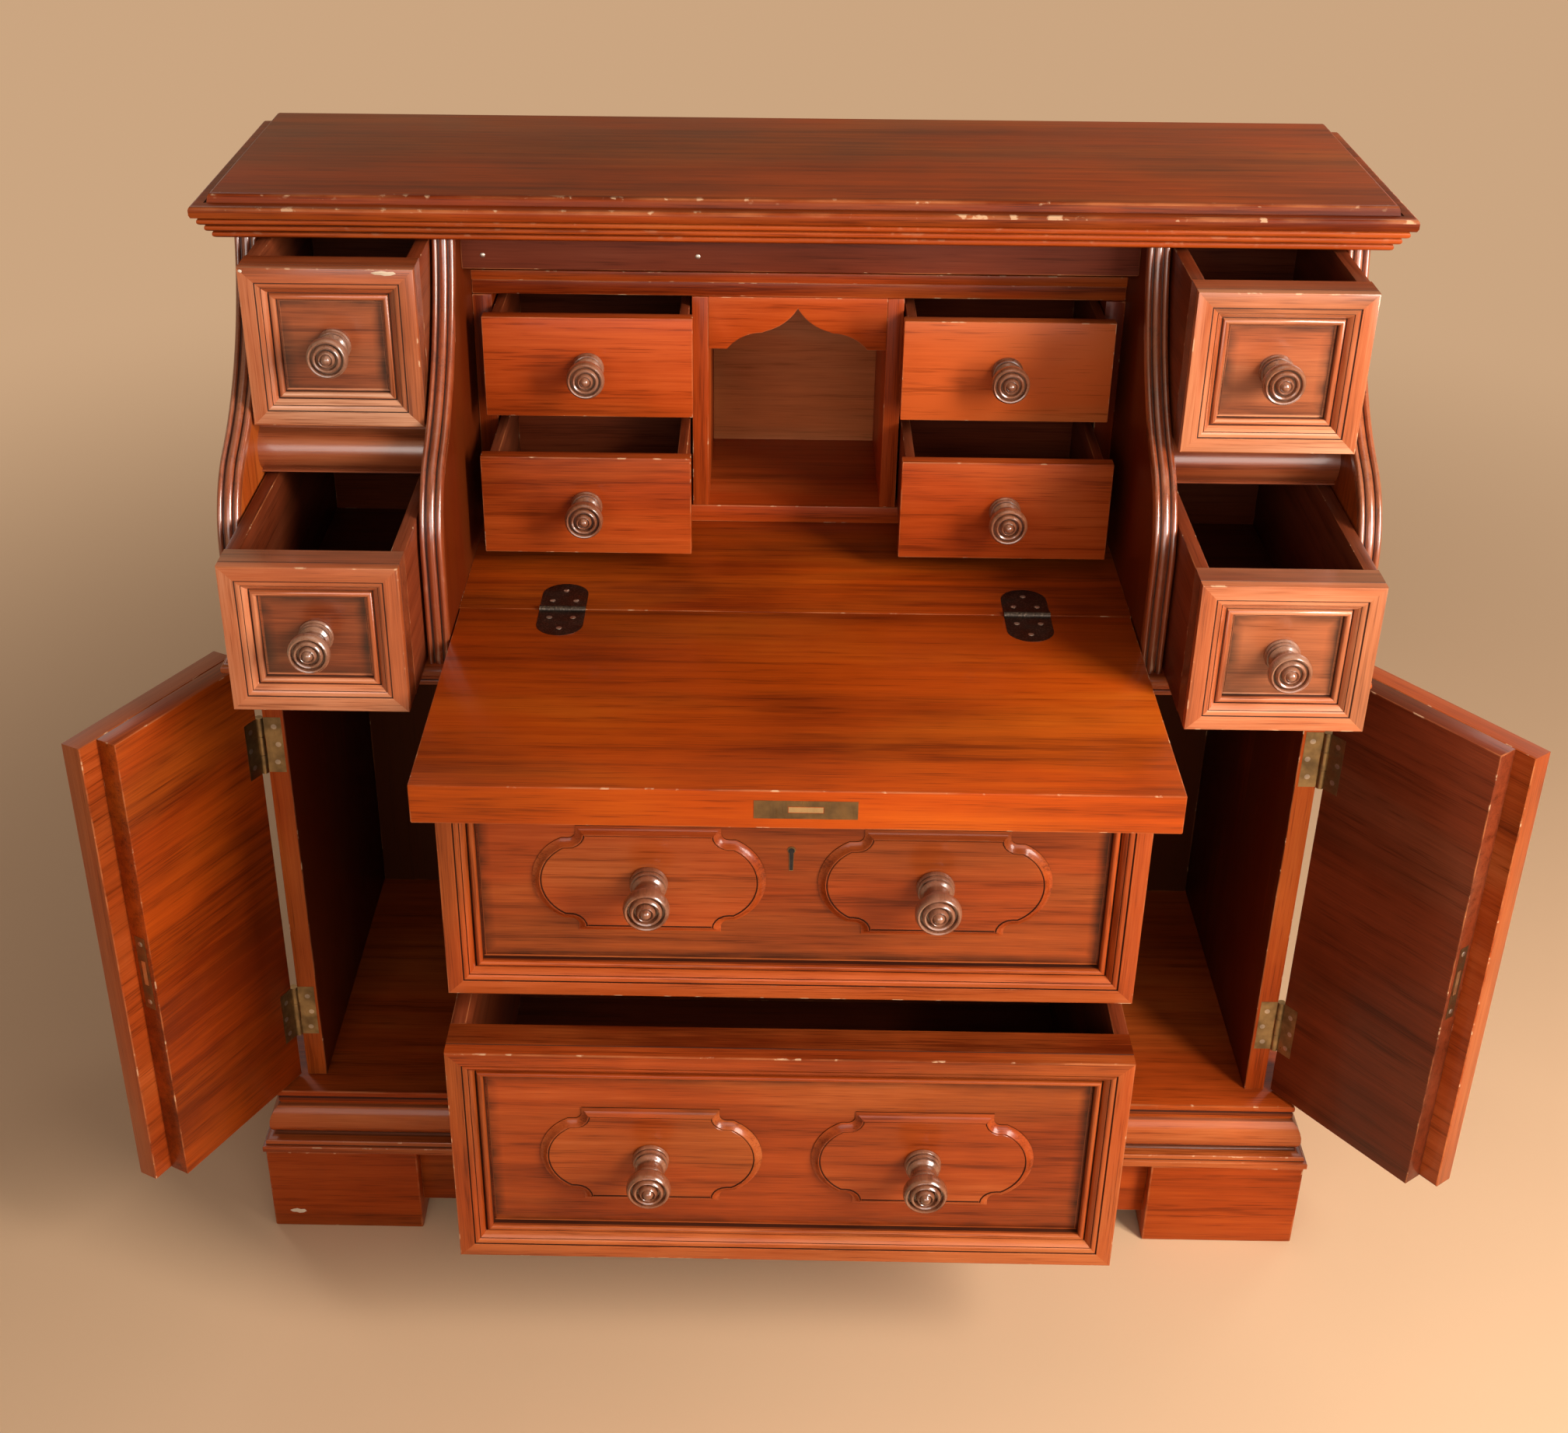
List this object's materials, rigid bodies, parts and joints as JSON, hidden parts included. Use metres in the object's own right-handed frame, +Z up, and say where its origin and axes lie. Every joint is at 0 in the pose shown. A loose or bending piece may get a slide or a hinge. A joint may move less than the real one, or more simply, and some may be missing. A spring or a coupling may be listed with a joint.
{
  "type": "davenport desk",
  "caption": "Polished mahogany davenport desk with S-shaped uprights, a hinged writing fall, a fitted case of small drawers, side drawers, long drawers and cupboards.",
  "frame": {"origin": "on the floor, in the plane of the back, at the middle of the width", "axes": "+Z up, +Y out of the back towards the wall, +X to the right seen from the front"},
  "size_m": [1.3238, 0.696, 1.11],
  "materials": {
    "carcass_wood": "polished",
    "front_wood": "polished",
    "case_wood": "polished",
    "writing_wood": "polished",
    "interior_wood": "bare",
    "knob_wood": "polished",
    "brass_fittings": "aged"
  },
  "bodies": {
    "carcass": {"top_board": "carcass_wood", "cornice": "carcass_wood", "outer_uprights": "carcass_wood", "inner_uprights": "carcass_wood", "upright_reeding": "carcass_wood", "roll_rails": "carcass_wood", "drawer_shelves": "interior_wood", "frieze_rail": "carcass_wood", "fixed_hinge_leaves": "brass_fittings", "writing_board": "writing_wood", "fitted_case": "case_wood", "pigeonhole_valance": "case_wood", "back_panel": "interior_wood", "waist_boards": "carcass_wood", "side_panels": "carcass_wood", "partitions": "interior_wood", "base_floor": "carcass_wood", "base_moulding": "carcass_wood", "feet": "carcass_wood", "plinth_rails": "carcass_wood"},
    "upper_left_drawer": {"upper_left_drawer_front": "front_wood", "upper_left_drawer_box": "interior_wood", "upper_left_drawer_knob": "knob_wood"},
    "upper_right_drawer": {"upper_right_drawer_front": "front_wood", "upper_right_drawer_box": "interior_wood", "upper_right_drawer_knob": "knob_wood"},
    "lower_left_drawer": {"lower_left_drawer_front": "front_wood", "lower_left_drawer_box": "interior_wood", "lower_left_drawer_knob": "knob_wood"},
    "lower_right_drawer": {"lower_right_drawer_front": "front_wood", "lower_right_drawer_box": "interior_wood", "lower_right_drawer_knob": "knob_wood"},
    "case_upper_left_drawer": {"case_upper_left_drawer": "case_wood", "case_upper_left_knob": "knob_wood"},
    "case_upper_right_drawer": {"case_upper_right_drawer": "case_wood", "case_upper_right_knob": "knob_wood"},
    "case_lower_left_drawer": {"case_lower_left_drawer": "case_wood", "case_lower_left_knob": "knob_wood"},
    "case_lower_right_drawer": {"case_lower_right_drawer": "case_wood", "case_lower_right_knob": "knob_wood"},
    "upper_long_drawer": {"upper_long_drawer_front": "front_wood", "upper_long_drawer_box": "interior_wood", "upper_long_drawer_knobs": "knob_wood"},
    "lower_long_drawer": {"lower_long_drawer_front": "front_wood", "lower_long_drawer_box": "interior_wood", "lower_long_drawer_knobs": "knob_wood"},
    "fall": {"flap_board": "writing_wood", "flap_hinge_leaves": "brass_fittings", "flap_lock_plate": "brass_fittings"},
    "fall_bolt": {"flap_bolt": "brass_fittings"},
    "left_door": {"left_door_board": "front_wood", "left_door_frame": "front_wood", "left_door_hinge_leaves": "brass_fittings", "left_door_lock_plate": "brass_fittings"},
    "left_door_bolt": {"left_door_bolt": "brass_fittings"},
    "right_door": {"right_door_board": "front_wood", "right_door_frame": "front_wood", "right_door_hinge_leaves": "brass_fittings", "right_door_lock_plate": "brass_fittings"},
    "right_door_bolt": {"right_door_bolt": "brass_fittings"}
  },
  "joints": [
    {"name": "upper_left_drawer_slide", "type": "slide", "parent": "carcass", "child": "upper_left_drawer", "axis": [0, -1, 0], "range_m": [-0.093, 0.072]},
    {"name": "upper_right_drawer_slide", "type": "slide", "parent": "carcass", "child": "upper_right_drawer", "axis": [0, -1, 0], "range_m": [-0.129, 0.036]},
    {"name": "lower_left_drawer_slide", "type": "slide", "parent": "carcass", "child": "lower_left_drawer", "axis": [0, -1, 0], "range_m": [-0.1, 0.2]},
    {"name": "lower_right_drawer_slide", "type": "slide", "parent": "carcass", "child": "lower_right_drawer", "axis": [0, -1, 0], "range_m": [-0.111, 0.189]},
    {"name": "case_upper_left_drawer_slide", "type": "slide", "parent": "carcass", "child": "case_upper_left_drawer", "axis": [0, -1, 0], "range_m": [-0.044, 0.086]},
    {"name": "case_upper_right_drawer_slide", "type": "slide", "parent": "carcass", "child": "case_upper_right_drawer", "axis": [0, -1, 0], "range_m": [-0.043, 0.087]},
    {"name": "case_lower_left_drawer_slide", "type": "slide", "parent": "carcass", "child": "case_lower_left_drawer", "axis": [0, -1, 0], "range_m": [-0.103, 0.027]},
    {"name": "case_lower_right_drawer_slide", "type": "slide", "parent": "carcass", "child": "case_lower_right_drawer", "axis": [0, -1, 0], "range_m": [-0.104, 0.026]},
    {"name": "upper_long_drawer_slide", "type": "slide", "parent": "carcass", "child": "upper_long_drawer", "axis": [0, -1, 0], "range_m": [-0.174, 0.106]},
    {"name": "lower_long_drawer_slide", "type": "slide", "parent": "carcass", "child": "lower_long_drawer", "axis": [0, -1, 0], "range_m": [-0.22, 0.06]},
    {"name": "fall_hinge", "type": "hinge", "parent": "carcass", "child": "fall", "pos_m": [0, -0.385, 0.75], "axis": [1, 0, 0], "range_deg": [-115, 0]},
    {"name": "fall_bolt_slide", "type": "slide", "parent": "fall", "child": "fall_bolt", "axis": [0, -1, 0], "range_m": [0, 0.01]},
    {"name": "left_door_hinge", "type": "hinge", "parent": "carcass", "child": "left_door", "pos_m": [-0.5165, -0.37625, 0.4335], "axis": [0, 0, -1], "range_deg": [-118, 52]},
    {"name": "left_door_bolt_slide", "type": "slide", "parent": "left_door", "child": "left_door_bolt", "axis": [-0.4695, -0.8829, 0], "range_m": [0, 0.01]},
    {"name": "right_door_hinge", "type": "hinge", "parent": "carcass", "child": "right_door", "pos_m": [0.5165, -0.37625, 0.4335], "axis": [0, 0, 1], "range_deg": [-127, 43]},
    {"name": "right_door_bolt_slide", "type": "slide", "parent": "right_door", "child": "right_door_bolt", "axis": [0.6018, -0.7986, 0], "range_m": [0, 0.01]}
  ]
}
